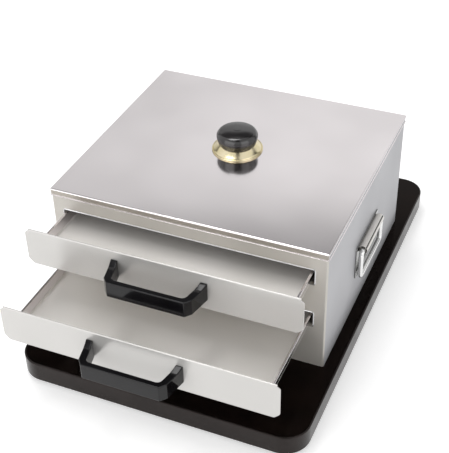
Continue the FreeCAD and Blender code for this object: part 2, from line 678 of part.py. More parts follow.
def makeHandle(tier, pulled, slot):
    # moulded bar on two legs, screwed on from inside the tray
    body = newBody(f"{tier}_handle", "boxOffsetX", f"boxOffsetY - frontFace - {pulled} - plateWall",
                   f"boxFloor + {slot} - plateDrop + handleRise")
    outer = [("handleWidth/2", "0"), ("elbowWidth/2", "-handleDepth + elbowDepth"),
             ("barWidth/2", "-handleDepth")]
    inner = [("elbowWidth/2 - legThickness", "-handleDepth + barThickness"),
             ("handleWidth/2 - legThickness", "0")]
    outline = newSketch(body, "XY_Plane")
    addPolygon(outline, outer + mirrored(outer) + mirrored(inner) + inner)
    pad(body, outline, "handleHeight")
    fillet(body, "handleInner", lambda edge: upright(edge) and at(edge, *inner[0]))
    fillet(body, "handleOuter", lambda edge: upright(edge) and (at(edge, *outer[1]) or at(edge, *outer[2])))
    top, middle = number("handleHeight"), number("-handleDepth/2")
    fillet(body, "handleEdge", lambda edge: level(edge, top) and edge.BoundBox.YMin < middle)
    makeRoots(body)
    holes = newSketch(body, "XZ_Plane")
    for x in screwPlaces:
        addCircle(holes, x, "handleHeight/2", "handleScrewRadius + handleScrewGap")
    pocket(body, holes, "handleScrewLength + handleScrewSpare", backwards=True)


def makeRoots(body):
    # each leg thickens upwards towards the plate, where its screw holds it
    outside = "handleWidth/2 - legLean*rootLength/(handleDepth - elbowDepth)"
    inside = "handleWidth/2 - legThickness - legLean*rootLength/(handleDepth - barThickness)"
    blocks = newSketch(body, "XY_Plane", "handleHeight - handleEdge")
    for i in (-1, 1):
        addPolygon(blocks, [(f"{i}*handleWidth/2", "0"), (f"{i}*({outside})", "-rootLength"),
                            (f"{i}*({inside})", "-rootLength"), (f"{i}*(handleWidth/2 - legThickness)", "0")])
    pad(body, blocks, "handleEdge + rootRise")
    above = "handleHeight + rootRise + cutMargin"
    slope = newSketch(body, "YZ_Plane", "-handleWidth/2 - cutMargin")
    addPolygon(slope, [("0", "handleHeight + rootRise"), ("0", above), ("-rootLength - cutMargin", above),
                       ("-rootLength - cutMargin", "handleHeight"), ("-rootLength", "handleHeight")])
    pocket(body, slope, "handleWidth + 2*cutMargin", backwards=True)


def makeHandleScrews(tier, place):
    screws = []
    turn = Rotation(Vector(1, 0, 0), 90)
    for x in screwPlaces:
        head = cylinder("handleScrewHead", "handleHeadHeight", x, "trayWall + handleHeadHeight",
                        "handleMiddle", turn)
        shank = cylinder("handleScrewRadius", "trayWall + plateWall + handleScrewLength", x, "trayWall",
                         "handleMiddle", turn)
        screws.append(fuse([head, shank]))
    group(f"{tier}_handle_screws", screws, *place)


makeBaseShell()
makeBaseGlass()
makeBaseCover()
makeBaseFeet()
makeBaseScrews()
makeHeater()
makeInlet()
makeBoxShell()
makeFrontPanel()
makeWaterPan()
makeRunners()
makeBailHandles()
makeLid()
makeKnob()
for name, (pulled, slot) in drawers.items():
    spot = ("boxOffsetX", f"boxOffsetY - frontFace - {pulled}", f"boxFloor + {slot} + trayLift")
    makeTray(name, spot)
    makeFrontPlate(name, spot)
    makeHandle(name, pulled, slot)
    makeHandleScrews(name, spot)

doc.recompute()
for item in doc.Objects:
    if {"Invalid", "Error"} & set(item.State):
        raise RuntimeError(f"{item.Label} is {item.State}")
for item in parts:
    if item.Shape.isNull() or not item.Shape.isValid():
        raise RuntimeError(f"{item.Label} has no valid shape")

os.makedirs("parts", exist_ok=True)
for item in parts:
    item.Shape.exportStep(f"parts/{item.Label}.step")
    bounds = item.Shape.BoundBox
    print(f"{item.Label}: {len(item.Shape.Solids)} solids, {item.Shape.Volume:.0f} mm3,"
          f" x {bounds.XMin:.1f}..{bounds.XMax:.1f}, y {bounds.YMin:.1f}..{bounds.YMax:.1f},"
          f" z {bounds.ZMin:.1f}..{bounds.ZMax:.1f}")
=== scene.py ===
import math

import bmesh
import bpy
from mathutils import Matrix, Vector


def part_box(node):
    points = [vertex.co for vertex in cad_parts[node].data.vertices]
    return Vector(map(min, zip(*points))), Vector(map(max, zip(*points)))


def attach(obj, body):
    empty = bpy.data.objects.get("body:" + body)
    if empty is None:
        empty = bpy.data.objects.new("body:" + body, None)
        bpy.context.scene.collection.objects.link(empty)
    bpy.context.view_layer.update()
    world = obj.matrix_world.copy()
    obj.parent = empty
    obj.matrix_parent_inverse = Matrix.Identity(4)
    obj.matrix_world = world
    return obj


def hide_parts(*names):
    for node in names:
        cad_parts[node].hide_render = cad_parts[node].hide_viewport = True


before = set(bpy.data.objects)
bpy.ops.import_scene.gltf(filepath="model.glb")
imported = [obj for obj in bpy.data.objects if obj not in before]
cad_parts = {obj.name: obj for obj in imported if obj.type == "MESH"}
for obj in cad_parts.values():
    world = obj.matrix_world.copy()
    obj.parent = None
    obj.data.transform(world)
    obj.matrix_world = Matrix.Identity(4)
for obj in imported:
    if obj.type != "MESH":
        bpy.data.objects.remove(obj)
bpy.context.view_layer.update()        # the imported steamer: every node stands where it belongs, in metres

scene = bpy.context.scene


# shapes are worked out in millimetres and stored in metres
def nodeBox(name):
    # lowest and highest corner of a node, and its middle
    low, high = (corner * 1000 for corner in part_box(name))
    return low, high, (low + high) / 2


def roundCorners(corners, steps=6):
    # closed outline in which each corner (x, y, radius) is an arc
    points = []
    for i, (x, y, radius) in enumerate(corners):
        here = Vector((x, y))
        back = (Vector(corners[i - 1][:2]) - here).normalized()
        ahead = (Vector(corners[(i + 1) % len(corners)][:2]) - here).normalized()
        if radius <= 0 or abs(back.cross(ahead)) < 1e-6:
            points.append((x, y))
            continue
        half = back.angle(ahead) / 2
        middle = here + (back + ahead).normalized() * radius / math.sin(half)
        reach = radius / math.tan(half)
        start = here + back * reach - middle
        end = here + ahead * reach - middle
        first = math.atan2(start.y, start.x)
        sweep = (math.atan2(end.y, end.x) - first + math.pi) % (2 * math.pi) - math.pi
        for k in range(steps + 1):
            angle = first + sweep * k / steps
            points.append((middle.x + radius * math.cos(angle), middle.y + radius * math.sin(angle)))
    return points


def rectangle(left, right, front, back, radius, steps=6):
    corners = [(left, front), (right, front), (right, back), (left, back)]
    return roundCorners([(x, y, max(radius, 0.05)) for x, y in corners], steps)


def arc(middle, radius, first, last, steps=5):
    # points (u, v) on an arc, angles in degrees
    angles = [math.radians(first + (last - first) * k / steps) for k in range(steps + 1)]
    return [(middle[0] + radius * math.cos(a), middle[1] + radius * math.sin(a)) for a in angles]


def skin(bm, rings):
    # faces between rings of equally many corners
    for here, after in zip(rings, rings[1:]):
        for i in range(len(here)):
            j = (i + 1) % len(here)
            bm.faces.new((here[i], here[j], after[j], after[i]))


def loft(bm, loops, closed=False):
    # skin over loops of equally many points; an open skin is closed with a face at each end
    rings = [[bm.verts.new(point) for point in loop] for loop in loops]
    skin(bm, rings + rings[:1] if closed else rings)
    if not closed:
        bm.faces.new(rings[0])
        bm.faces.new(rings[-1])


def lathe(bm, profile, middle, closed=False, steps=72):
    # turns a profile of (radius, height) about an upright axis through the middle
    angles = [2 * math.pi * k / steps for k in range(steps)]
    loft(bm, [[(middle[0] + r * math.cos(a), middle[1] + r * math.sin(a), z) for a in angles]
              for r, z in profile], closed)


def prism(bm, outline, low, high, place=lambda u, v, w: (u, v, w)):
    # straight block over an outline in u and v, from low to high along w
    loft(bm, [[place(u, v, w) for u, v in outline] for w in (low, high)])


def upFront(u, v, w):
    # an outline of width and height, thickened along the depth
    return (u, w, v)


def upSide(u, v, w):
    # an outline of depth and height, thickened along the width
    return (w, u, v)


def newObject(name, data):
    item = bpy.data.objects.new(name, data)
    scene.collection.objects.link(item)
    return item


def toPiece(name, bm):
    # closes the mesh, turns its faces outwards and puts it into an object, in metres
    bmesh.ops.remove_doubles(bm, verts=bm.verts, dist=0.002)
    bmesh.ops.recalc_face_normals(bm, faces=bm.faces)
    bmesh.ops.scale(bm, vec=(0.001, 0.001, 0.001), verts=bm.verts)
    mesh = bpy.data.meshes.new(name)
    bm.to_mesh(mesh)
    bm.free()
    return newObject(name, mesh)


def settle(piece):
    # turns the piece and its modifiers into a plain mesh
    graph = bpy.context.evaluated_depsgraph_get()
    mesh = bpy.data.meshes.new_from_object(piece.evaluated_get(graph))
    piece.modifiers.clear()
    piece.data = mesh
    return piece


def combine(piece, other, operation="UNION"):
    # joins, or cuts, one closed shape with another, which is used up
    change = piece.modifiers.new("Combine", "BOOLEAN")
    change.object = other
    change.operation = operation
    change.solver = "EXACT"
    settle(piece)
    bpy.data.objects.remove(other)
    return piece


def soften(piece, width=0.0, steps=3, angle=35):
    # rounds the sharp edges by a width in millimetres, and shades flats flat and bends round
    piece.data.shade_smooth()
    piece.data.set_sharp_from_angle(angle=math.radians(angle))
    if width:
        bevel = piece.modifiers.new("Edges", "BEVEL")
        bevel.width = width / 1000
        bevel.segments = steps
        bevel.limit_method = "ANGLE"
        bevel.angle_limit = math.radians(angle)
        bevel.harden_normals = False
    weights = piece.modifiers.new("Shading", "WEIGHTED_NORMAL")
    weights.keep_sharp = not width
    return settle(piece)


def dress(piece, material, body, slot, *nodes):
    # gives a finished piece its material and body, and hides the nodes that it stands for; the slot is not
    # used
    piece.data.materials.clear()
    piece.data.materials.append(material)
    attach(piece, body)
    if nodes:
        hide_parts(*nodes)
    return piece


def linear(code):
    # an sRGB colour such as "#C8C6C4" as linear RGBA
    values = [int(code[i:i + 2], 16) / 255 for i in (1, 3, 5)]
    return [v / 12.92 if v <= 0.04045 else ((v + 0.055) / 1.055) ** 2.4 for v in values] + [1.0]


def addNode(tree, kind, sockets=None, out=None, **settings):
    # one node with its settings, and a value or a link for each socket; gives the node, or one of its outputs
    node = tree.nodes.new(kind)
    for name, value in settings.items():
        setattr(node, name, value)
    for name, value in (sockets or {}).items():
        if isinstance(value, bpy.types.NodeSocket):
            tree.links.new(value, node.inputs[name])
        else:
            node.inputs[name].default_value = value
    return node if out is None else node.outputs[out]


def newMaterial(name, colour, roughness, **fixed):
    # a material with a surface shader, and the object's own coordinates for its patterns
    material = bpy.data.materials.new(name)
    material.use_nodes = True
    material.diffuse_color = linear(colour)
    tree = material.node_tree
    shader = next(node for node in tree.nodes if node.type == "BSDF_PRINCIPLED")
    shader.inputs["Base Color"].default_value = linear(colour)
    shader.inputs["Roughness"].default_value = roughness
    for socket, value in fixed.items():
        shader.inputs[socket.replace("_", " ")].default_value = value
    return material, tree, shader, addNode(tree, "ShaderNodeTexCoord", out="Object")


def pattern(tree, place, size, detail=2.0, stretch=(1, 1, 1)):
    # noise whose grains measure size times stretch, in millimetres
    scale = [1000 / (size * s) for s in stretch]
    grain = addNode(tree, "ShaderNodeMapping", {"Vector": place, "Scale": scale}, "Vector")
    return addNode(tree, "ShaderNodeTexNoise", {"Vector": grain, "Scale": 1.0, "Detail": detail}, "Fac")


def varySurface(tree, shader, cloud, dark, light, grain, low, high):
    # colour from dark to light with the cloud, and roughness from low to high with the grain; both are noise,
    # which stays between about 0.3 and 0.7
    reach = {"From Min": 0.3, "From Max": 0.7}
    share = addNode(tree, "ShaderNodeMapRange", {"Value": cloud, **reach}, "Result")
    # the two colours are sockets 6 and 7 of the mix, and their mixture is its output 2
    colour = addNode(tree, "ShaderNodeMix", {"Factor": share, 6: linear(dark), 7: linear(light)}, 2,
                     data_type="RGBA")
    gloss = addNode(tree, "ShaderNodeMapRange", {"Value": grain, **reach, "To Min": low, "To Max": high},
                    "Result")
    tree.links.new(colour, shader.inputs["Base Color"])
    tree.links.new(gloss, shader.inputs["Roughness"])


# sizes and depths in millimetres; "gloss" is how far roughness swings, or its lowest and highest share
surfaceLook = {"belt": {"lines": 1.5, "lineDepth": 1.0, "wave": 90, "waveDepth": 4.0, "gloss": 0.003,
                        "blur": 0.75},
               "polish": {"swirl": 12, "gloss": (0.7, 1.4)},
               "mould": {"cloud": 30, "grainDepth": 0.5, "gloss": (0.8, 1.25)}}


def brushedSteel(name, dark, light, roughness, grain, depth=0.02, wave=0.15, along=None, haze=0.0):
    # stainless sheet with the fine parallel lines of an abrasive belt, which blur what it mirrors across
    # them, and with the slow unevenness of thin sheet. The lines are about 0.1 mm apart on the real sheet,
    # too fine to show, so they are drawn 1.5 mm apart and faint, and the blur across them is the shader's
    # own. Haze is the matt share, which keeps the sheet pale where it mirrors something dark.
    look = surfaceLook["belt"]
    material, tree, shader, place = newMaterial(name, light, roughness, Metallic=1.0 - haze)
    lines = pattern(tree, place, look["lines"], 3.0, grain)
    cloud = pattern(tree, place, look["wave"], 1.0)
    varySurface(tree, shader, cloud, dark, light, lines, roughness - look["gloss"], roughness + look["gloss"])
    sheet = addNode(tree, "ShaderNodeBump", {"Height": cloud, "Strength": wave,
                                             "Distance": look["waveDepth"] / 1000}, "Normal")
    bump = addNode(tree, "ShaderNodeBump", {"Height": lines, "Strength": depth, "Normal": sheet,
                                            "Distance": look["lineDepth"] / 1000}, "Normal")
    tree.links.new(bump, shader.inputs["Normal"])
    if along:
        shader.inputs["Anisotropic"].default_value = look["blur"]
        direction = addNode(tree, "ShaderNodeCombineXYZ", dict(zip("XYZ", along)), "Vector")
        tree.links.new(direction, shader.inputs["Tangent"])
    return material


def polishedMetal(name, dark, light, roughness):
    # plated or buffed metal: a clear mirror with the faint swirls of wiping
    look = surfaceLook["polish"]
    material, tree, shader, place = newMaterial(name, light, roughness, Metallic=1.0)
    swirl = pattern(tree, place, look["swirl"], 3.0)
    varySurface(tree, shader, swirl, dark, light, swirl, *(roughness * share for share in look["gloss"]))
    return material


def moulded(name, dark, light, roughness, grainSize=0.8, depth=0.03, **fixed):
    # moulded resin or rubber: the skin of the mould as a fine grain, and a slow change of colour and gloss
    look = surfaceLook["mould"]
    material, tree, shader, place = newMaterial(name, light, roughness, **fixed)
    grain = pattern(tree, place, grainSize, 2.0)
    cloud = pattern(tree, place, look["cloud"], 2.0)
    varySurface(tree, shader, cloud, dark, light, cloud, *(roughness * share for share in look["gloss"]))
    bump = addNode(tree, "ShaderNodeBump", {"Height": grain, "Strength": depth,
                                            "Distance": look["grainDepth"] / 1000}, "Normal")
    tree.links.new(bump, shader.inputs["Normal"])
    return material


print("materials")
alongX, alongY, allWays = (40, 1, 1), (1, 40, 1), (1, 1, 1)   # how far the brushing's lines are drawn out
finishes = {
    # satin stainless sheet: the lid mirrors the room, a little softened
    "lidSteel": brushedSteel("satinStainlessLid", "#E2DDDE", "#EAE5E6", 0.13, alongX, 0.002, 0.02),
    # belt-brushed stainless sheet: pale, with a soft glow drawn out across the lines
    "wallSteel": brushedSteel("brushedStainlessWall", "#B8B8BB", "#C2C2C5", 0.42, alongY, 0.02, 0.08,
                              (0, 1, 0), 0.75),
    "frontSteel": brushedSteel("brushedStainlessFront", "#C6C2BB", "#D1CDC6", 0.42, alongX, 0.04, 0.10,
                               (1, 0, 0), 0.6),
    # the same with a small matt share, in a darker and warmer colour: painted shade and reflection for the
    # lid's front skirt
    "hemSteel": brushedSteel("brushedStainlessHem", "#ACA69D", "#B8B2A9", 0.40, alongX, 0.04, 0.10,
                             (1, 0, 0), 0.2),
    # satin sheet of the drawers: an even pale grey that mirrors only what is close
    "plateSteel": brushedSteel("satinStainlessPlate", "#D2D0CD", "#D8D6D3", 0.22, alongX, 0.003, 0.05,
                               None, 0.65),
    "traySteel": brushedSteel("satinStainlessTray", "#E8E5E0", "#F1EEEA", 0.45, alongY, 0.003, 0.05,
                              None, 0.7),
    # sheet as it comes from the mill, inside the box: grey and dull
    "innerSteel": brushedSteel("millStainlessInside", "#A5A49F", "#B8B6B0", 0.38, alongY, 0.01, 0.05),
    # buffed or plated metal: clear reflections, with bright and dark lines along the edges
    "brightSteel": polishedMetal("polishedStainlessHandle", "#D6D6D6", "#E6E6E5", 0.09),
    # the bail's backing plate: the same polished steel as the rod, in a darker colour that is painted shade
    # and reflection
    "plateBright": polishedMetal("polishedStainlessBacking", "#8E8E8D", "#A2A2A1", 0.13),
    "screwSteel": polishedMetal("zincPlatedScrew", "#B9B9BA", "#CBCBCC", 0.20),
    "brass": polishedMetal("polishedBrassRing", "#E2D5AC", "#EEE2C2", 0.19),
    "pinBrass": polishedMetal("platedBrassPin", "#B59E63", "#CDB779", 0.22),
    # hard moulded phenolic: near black, glossy enough to show each lamp as a bright line along an edge
    "phenolic": moulded("mouldedPhenolicBlack", "#0E0D0F", "#141315", 0.10, 0.8, 0.01,
                        Specular_IOR_Level=0.32),
    # the same resin buffed: the lid's knob shows the lamps larger and brighter than the drawer handles do
    "knobResin": moulded("buffedPhenolicKnob", "#110E10", "#181416", 0.32, 0.8, 0.005,
                         Specular_IOR_Level=0.15, Coat_Weight=0.7, Coat_Roughness=0.13, Coat_IOR=1.8),
    # toughened glass over black enamel: dark and flat, with only a weak mirror image
    "glass": moulded("blackEnamelledGlass", "#0B0807", "#130D0B", 0.12, 60, 0.01, Specular_IOR_Level=0.06,
                     Specular_Tint=(1.0, 0.72, 0.6, 1.0)),
    # moulded plastic with a little gloss: dark, with a soft sheen along its rounded edge
    "basePlastic": moulded("mouldedBasePlastic", "#1E1B1A", "#272322", 0.22, 0.8, 0.03,
                           Specular_IOR_Level=0.22, Specular_Tint=(1.0, 0.85, 0.8, 1.0)),
    # moulded plastic, rubber and powder coat without gloss: flat dark greys with a grain
    "inletPlastic": moulded("mouldedInletPlastic", "#161616", "#1E1D1D", 0.42, 0.5, 0.10),
    "rubber": moulded("mouldedFootRubber", "#131313", "#1B1A1A", 0.62, 0.6, 0.20),
    "paint": moulded("powderCoatedCover", "#1C1C1C", "#252424", 0.48, 0.7, 0.25),
    # pressed ceramic wool: cream, matt and rough
    "wool": moulded("ceramicWoolBoard", "#C9C3B4", "#DBD6C9", 0.90, 1.5, 0.60),
    # pressed aluminium: a soft grey. Steel tube browned by its own heat
    "dishMetal": brushedSteel("pressedAluminiumDish", "#A9AAAC", "#C2C3C5", 0.35, allWays),
    "elementSteel": brushedSteel("heatedElementSteel", "#5A504A", "#7A6E66", 0.42, allWays),
}


# the lid is one sheet with its edges bent down all round. "skirt" is their face, from the bend to the rolled
# lower edge, as (inset, distance below the top)
lidSizes = {"wall": 1.0, "bend": 1.8, "corner": 1.8, "back": 1.4, "innerEdge": 0.3,
            "skirt": ((0.15, 2.3), (0.85, 2.8), (1.25, 7.9), (1.1, 8.2), (0.35, 8.5), (0.1, 8.7), (0.1, 8.85),
                      (0.3, 9.0))}


def makeLid():
    s = lidSizes
    low, high, _ = nodeBox("lid_panel")
    wall, bend = s["wall"], s["bend"]
    inner = arc((bend, high.z - bend), bend - wall, 90, 180)
    outer = [(inset, high.z - drop) for inset, drop in reversed(s["skirt"])]
    outer += arc((bend, high.z - bend), bend, 180, 90)
    fold = [(s["back"], high.z - s["skirt"][0][1]), (s["back"], low.z + s["innerEdge"]),
            (s["back"] - s["innerEdge"], low.z)]
    loops = []
    for inset, z in inner + fold + outer:
        outline = rectangle(low.x + inset, high.x - inset, low.y + inset, high.y - inset, s["corner"] - inset)
        loops.append([(x, y, z) for x, y in outline])
    bm = bmesh.new()
    loft(bm, loops)
    piece = soften(toPiece("lid_sheet", bm))
    dress(piece, finishes["lidSteel"], "lid", "stainless_lid", "lid_panel")
    # painted shade and reflection: the skirt takes the walls' darker brushed sheet, and its front a darker,
    # warmer copy still, so that the skirt is darker than the top
    for finish in ("wallSteel", "hemSteel"):
        piece.data.materials.append(finishes[finish])
    for face in piece.data.polygons:
        if abs(face.normal.z) < 0.35:                         # upright, or nearly
            face.material_index = 2 if face.normal.y < -0.6 else 1


# "bun" is the knob's side as (radius, distance below the crown, rounding)
knobSizes = {"foot": 22.6, "footRound": 0.9, "gap": 0.1, "crownDrop": 0.05,
             "ringRim": 0.9, "ringTop": 21.0, "ringWall": 1.0, "ringFlare": 0.3, "skirtStart": 2.16,
             "skirtEnd": 0.2, "lip": 0.3,
             "bun": ((25.0, 10.5, 5.0), (25.0, 7.2, 3.5), (22.3, 2.6, 6.5), (13.5, 0.7, 60.0),
                     (7.0, 0.2, 80.0))}


def makeKnob():
    # moulded knob whose conical foot is hidden by the ring
    s = knobSizes
    low, high, middle = nodeBox("knob_cap")
    ringLow, ringHigh, _ = nodeBox("knob_ring")
    ring, rim, gap = (ringHigh.x - ringLow.x) / 2, s["ringRim"], s["gap"]
    hidden, floor = ring - s["ringWall"] - 3 * gap, ringHigh.z + gap
    corners = [(0, low.z, 0), (hidden, low.z, 0), (hidden, low.z + rim, 0),
               (s["ringTop"] - s["ringWall"] - gap, floor, 0), (s["foot"], floor, s["footRound"])]
    corners += [(radius, high.z - drop, turn) for radius, drop, turn in s["bun"]]
    corners.append((0, high.z - s["crownDrop"], 0))
    outline = roundCorners(corners, 10)
    edge = outline[-2][0]                                     # where the shoulder runs into the domed crown
    dome = [(edge * k / 8, high.z - s["crownDrop"] * (k / 8) ** 2) for k in range(7, -1, -1)]
    bm = bmesh.new()
    lathe(bm, outline[:-1] + dome, middle)
    dress(soften(toPiece("knob_grip", bm), angle=50), finishes["knobResin"], "lid", "black_phenolic",
          "knob_cap", "knob_insert")
    # spun brass ring: a flared skirt with a rolled rim that lies on the lid
    start = Vector((ring - 2 * rim, ringLow.z + s["skirtStart"]))
    end = Vector((s["ringTop"], ringHigh.z - s["skirtEnd"]))
    skirt = []
    for k in range(9):
        radius, z = start.lerp(end, k / 8)
        skirt.append((radius, z - s["ringFlare"] * math.sin(math.pi * k / 8)))
    inside = ring - 2 * rim - s["ringWall"]
    inner = [(end.x - s["lip"], ringHigh.z), (end.x - s["ringWall"], ringHigh.z), (inside, ringLow.z + rim),
             (inside, ringLow.z)]
    profile = arc((ring - rim, ringLow.z + rim), rim, -90, 150, 10) + skirt + inner
    bm = bmesh.new()
    lathe(bm, profile, middle, closed=True)
    dress(soften(toPiece("knob_flange", bm), angle=50), finishes["brass"], "lid", "brass", "knob_ring")


print("lid and knob")
makeLid()
makeKnob()


# the box: walls of 1 mm sheet, with two slots in the front. "flare" is the sheet's edge round a slot, as
# (distance from the slot, depth behind the face), and "lipBend" the bend behind its lip, as (distance from
# the lip, depth behind the face)
boxSizes = {"wall": 1.0, "bend": 2.2, "bendStep": 15, "flange": 12.0, "flangeDrop": 0.02,
            "slots": (58.0, 118.0), "slotWidth": 308.0, "slotHeight": 20.0, "slotCorner": 2.0, "lip": 5.0,
            "flare": ((1.2, 0.0), (0.95, -0.06), (0.15, -0.52), (0.03, -0.52), (0.0, -0.4), (0.0, 0.5)),
            "lipBend": ((0.0, 1.6), (0.3, 1.15), (0.9, 1.0)), "rimReach": 2.0}


def makeWalls():
    # left, back and right walls folded from one sheet, with a flange turned in at the top
    s = boxSizes
    low, high, _ = nodeBox("box_shell")
    wall, bend = s["wall"], s["bend"]
    outline = roundCorners([
        (low.x, low.y + bend, 0), (low.x + wall, low.y + bend, 0),
        (low.x + wall, high.y - wall, bend - wall), (high.x - wall, high.y - wall, bend - wall),
        (high.x - wall, low.y + bend, 0), (high.x, low.y + bend, 0), (high.x, high.y, bend),
        (low.x, high.y, bend)])
    bm = bmesh.new()
    prism(bm, outline, low.z, high.z)
    flange, front = s["flange"], low.y + wall
    prism(bm, roundCorners([
        (low.x + wall, front, 0), (low.x + flange, front, 0), (low.x + flange, high.y - flange, 1),
        (high.x - flange, high.y - flange, 1), (high.x - flange, front, 0), (high.x - wall, front, 0),
        (high.x - wall, high.y - wall, 1), (low.x + wall, high.y - wall, 1)]),
        high.z - wall, high.z - s["flangeDrop"])
    dress(soften(toPiece("box_walls", bm)), finishes["wallSteel"], "box", "stainless", "box_shell")


def slotLoops(bm, face, left, right, floor, top):
    # the sheet's edge round a slot: it flares forwards and turns inwards to a lip; the first ring lies in the
    # sheet's front face and the last in its rear face
    s = boxSizes
    edge = list(s["flare"]) + [(0, s["lip"]), (s["wall"], s["lip"])]
    edge += [(s["wall"] + grow, reach) for grow, reach in s["lipBend"]]
    rings = []
    for grow, depth in edge:
        outline = rectangle(left - grow, right + grow, floor - grow, top + grow, s["slotCorner"] + grow)
        rings.append([bm.verts.new((x, face + depth, z)) for x, z in outline])
    skin(bm, rings)
    return rings[0], rings[-1]


def makeFront():
    # front wall, bent back at both corners to meet the side walls
    s = boxSizes
    low, high, middle = nodeBox("front_panel")
    shellLow, shellHigh, _ = nodeBox("box_shell")
    face, wall, bend = low.y, s["wall"], s["bend"]
    left, right = shellLow.x + bend, shellHigh.x - bend
    slotLeft, slotRight = middle.x - s["slotWidth"] / 2, middle.x + s["slotWidth"] / 2
    bm = bmesh.new()
    frontLoops, rearLoops = [], []
    for floor in s["slots"]:
        front, rear = slotLoops(bm, face, slotLeft, slotRight, low.z + floor, low.z + floor + s["slotHeight"])
        frontLoops.append(front)
        rearLoops.append(rear)
    # columns of corners (front bottom, front top, rear top, rear bottom), from one bend's end to the other's
    columns = []
    for middleX, sign in ((left, -1), (right, 1)):
        for turn in range(0, 91, s["bendStep"])[::sign]:
            a = math.radians(turn)
            outer, inner = ((sign * r * math.sin(a), -r * math.cos(a)) for r in (bend, bend - wall))
            columns.append([bm.verts.new((middleX + u, face + bend + v, z)) for (u, v), z in
                            ((outer, low.z), (outer, high.z), (inner, high.z), (inner, low.z))])
    half = len(columns) // 2
    for i, (here, after) in enumerate(zip(columns, columns[1:]), start=1):
        for k in range(4):
            if i == half and k in (0, 2):
                continue                                      # the flat faces, which hold the slots
            bm.faces.new((here[k], here[(k + 1) % 4], after[(k + 1) % 4], after[k]))
    bm.faces.new(columns[0])
    bm.faces.new(columns[-1])
    here, after = columns[half - 1], columns[half]
    for border, holes in (((here[0], here[1], after[1], after[0]), frontLoops),
                          ((here[3], here[2], after[2], after[3]), rearLoops)):
        edges = []
        for loop in [border] + holes:
            for i in range(len(loop)):
                edge = bm.edges.get((loop[i - 1], loop[i]))
                edges.append(edge or bm.edges.new((loop[i - 1], loop[i])))
        bmesh.ops.triangle_fill(bm, use_beauty=True, edges=edges)
    prism(bm, [(slotLeft, face + wall), (slotRight, face + wall), (slotRight, face + s["flange"]),
               (slotLeft, face + s["flange"])], high.z - wall, high.z - s["flangeDrop"])
    piece = soften(toPiece("box_front", bm), angle=30)
    dress(piece, finishes["frontSteel"], "box", "stainless_front", "front_panel")
    # the flared rims of the slots are smooth and bright
    piece.data.materials.append(finishes["screwSteel"])
    for panel in piece.data.polygons:
        x, y, _ = panel.center * 1000
        if y < face - 0.01 and slotLeft - s["rimReach"] < x < slotRight + s["rimReach"]:
            panel.material_index = 1


print("steamer box")
makeWalls()
makeFront()


# a bail handle on each side wall: a plate, a rolled sleeve and the rod that turns in it
bailSizes = {"corner": 2.5, "edge": 0.4, "wall": 1.5, "rod": 3.0, "rodBend": 5.0,
             "sleeve": 5.5, "sleeveHalf": 35.5, "bore": 3.05, "mouth": 4.3, "mouthDepth": 5.0,
             "endRound": 0.3, "seamAt": 42, "seamWidth": 1.9, "seamDepth": 0.9, "steps": 40}


def nodeTree(name, inputs):
    # a geometry tree with named inputs, each (name, kind, value)
    tree = bpy.data.node_groups.new(name, "GeometryNodeTree")
    tree.interface.new_socket("Geometry", in_out="INPUT", socket_type="NodeSocketGeometry")
    tree.interface.new_socket("Geometry", in_out="OUTPUT", socket_type="NodeSocketGeometry")
    for label, kind, value in inputs:
        socket = tree.interface.new_socket(label, in_out="INPUT", socket_type="NodeSocket" + kind)
        if value is not None:
            socket.default_value = value
    return tree, addNode(tree, "NodeGroupInput").outputs


def runTree(piece, tree, values):
    # sets the tree's inputs by their identifiers and turns its result into a plain mesh
    modifier = piece.modifiers.new(tree.name, "NODES")
    modifier.node_group = tree
    for item in tree.interface.items_tree:
        if item.in_out == "INPUT" and item.name in values:
            modifier[item.identifier] = values[item.name]
    return settle(piece)


def finishTree(tree, shape, material):
    # real copies in their material, at the tree's output
    real = addNode(tree, "GeometryNodeRealizeInstances", {"Geometry": shape}, "Geometry")
    finish = addNode(tree, "GeometryNodeSetMaterial", {"Geometry": real, "Material": material}, "Geometry")
    addNode(tree, "NodeGroupOutput", {"Geometry": finish})
    return tree


def bailTree():
    # closed rod: a round-cornered rectangle with a round section, standing across the width
    tree, given = nodeTree("bailRod", [("Length", "Float", 0.08), ("Height", "Float", 0.04),
                                       ("Bend", "Float", 0.005), ("Rod", "Float", 0.003),
                                       ("Material", "Material", None)])
    loop = addNode(tree, "GeometryNodeCurvePrimitiveQuadrilateral",
                   {"Width": given["Length"], "Height": given["Height"]}, "Curve")
    bent = addNode(tree, "GeometryNodeFilletCurve", {"Curve": loop, "Radius": given["Bend"], "Count": 8},
                   "Curve", mode="POLY")
    section = addNode(tree, "GeometryNodeCurvePrimitiveCircle", {"Resolution": 24, "Radius": given["Rod"]},
                      "Curve")
    rod = addNode(tree, "GeometryNodeCurveToMesh", {"Curve": bent, "Profile Curve": section}, "Mesh")
    upright = addNode(tree, "GeometryNodeTransform",
                      {"Geometry": rod, "Rotation": (math.pi / 2, 0, math.pi / 2)}, "Geometry")
    smooth = addNode(tree, "GeometryNodeSetShadeSmooth", {"Geometry": upright}, "Geometry")
    return finishTree(tree, smooth, given["Material"])


def emptyPiece(name, points=()):
    # nothing but loose points, for a tree to work on
    mesh = bpy.data.meshes.new(name)
    mesh.from_pydata([tuple(point) for point in points], [], [])
    return newObject(name, mesh)


